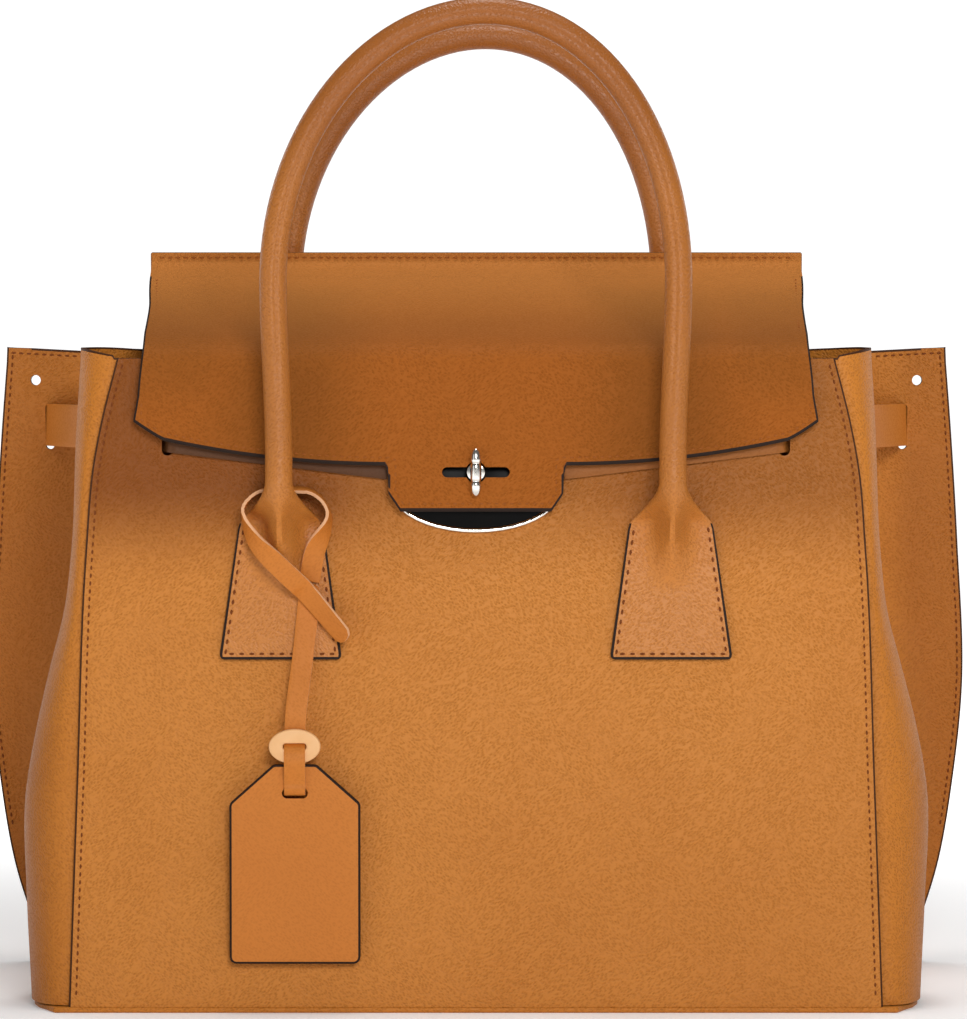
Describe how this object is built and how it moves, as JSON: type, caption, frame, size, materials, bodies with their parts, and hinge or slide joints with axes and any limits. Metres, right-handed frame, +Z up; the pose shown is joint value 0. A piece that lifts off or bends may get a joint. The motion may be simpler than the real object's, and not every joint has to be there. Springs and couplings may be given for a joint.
{
  "type": "handbag",
  "caption": "Structured leather handbag with a turn-lock flap, two rolled top handles, winged side pleats with straps, and a hanging luggage tag.",
  "frame": {"origin": "centre of the flat underside of the base", "axes": "+Z up from the base, +X to the bag's right as seen from its front, -Y out of the front panel"},
  "size_m": [0.3844, 0.1691, 0.3725],
  "materials": {
    "leather": "grained tan cowhide",
    "flap_leather": "grained tan cowhide, darker on the flap",
    "strap_leather": "smooth tan strap leather",
    "handle_leather": "rolled tan leather",
    "peach_leather": "natural vegetable-tanned leather",
    "nickel": "polished nickel plate",
    "black_lacquer": "black lacquered plate",
    "lining_cloth": "brown woven cloth",
    "base_fibreboard": "grey fibreboard",
    "handle_cord": "cotton cord"
  },
  "bodies": {
    "bag_body": {"base_panel": "leather", "base_board": "base_fibreboard", "front_panel": "leather", "back_panel": "leather", "gusset_left": "leather", "gusset_right": "leather", "side_strap_left": "strap_leather", "side_strap_right": "strap_leather", "lining": "lining_cloth", "flap_root_strip": "flap_leather", "lock_rim": "nickel", "lock_plate": "black_lacquer", "lock_back_plate": "nickel", "lock_post": "nickel", "front_foot_left": "handle_leather", "front_foot_right": "handle_leather", "rear_foot_left": "handle_leather", "rear_foot_right": "handle_leather", "tag_strap_loop": "strap_leather", "zip_tape": "lining_cloth", "zip_teeth": "nickel"},
    "flap_rear_body": {"flap_rear": "flap_leather", "flap_rear_lining": "lining_cloth"},
    "flap_drop_body": {"flap_drop": "flap_leather", "flap_drop_lining": "lining_cloth"},
    "lock_knob_body": {"lock_knob": "nickel"},
    "front_handle_body": {"front_handle_wrap": "handle_leather", "front_handle_core": "handle_cord"},
    "rear_handle_body": {"rear_handle_wrap": "handle_leather", "rear_handle_core": "handle_cord"},
    "tag_body": {"tag_back_ply": "strap_leather", "tag_front_ply": "strap_leather", "tag_hanging_strand": "strap_leather", "tag_toggle": "peach_leather"},
    "zip_slider_body": {"zip_slider": "nickel", "zip_pull": "leather"}
  },
  "joints": [
    {"name": "flap_lift", "type": "hinge", "parent": "bag_body", "child": "flap_rear_body", "pos_m": [0, 0.04589, 0.276], "axis": [-1, 0, 0], "range_deg": [0, 105]},
    {"name": "flap_fold", "type": "hinge", "parent": "flap_rear_body", "child": "flap_drop_body", "pos_m": [0, -0.06633, 0.22688], "axis": [1, 0, 0], "range_deg": [0, 105]},
    {"name": "lock_knob_turn", "type": "hinge", "parent": "bag_body", "child": "lock_knob_body", "pos_m": [0, -0.07329, 0.199], "axis": [0, 1, 0], "range_deg": [0, 90]},
    {"name": "front_handle_tilt", "type": "hinge", "parent": "bag_body", "child": "front_handle_body", "pos_m": [0, -0.08566, 0.204], "axis": [1, 0, 0], "range_deg": [0, 100]},
    {"name": "rear_handle_tilt", "type": "hinge", "parent": "bag_body", "child": "rear_handle_body", "pos_m": [0, 0.06774, 0.204], "axis": [-1, 0, 0], "range_deg": [0, 100]},
    {"name": "tag_swing", "type": "hinge", "parent": "bag_body", "child": "tag_body", "pos_m": [-0.0613, -0.07139, 0.1538], "axis": [0, 1, 0], "range_deg": [-30, 30]},
    {"name": "zip_slide", "type": "slide", "parent": "bag_body", "child": "zip_slider_body", "axis": [1, 0, 0], "range_m": [0, 0.14]}
  ],
  "couplings": [
    {"joint": "flap_fold", "follows": "flap_lift", "ratio": 1}
  ]
}
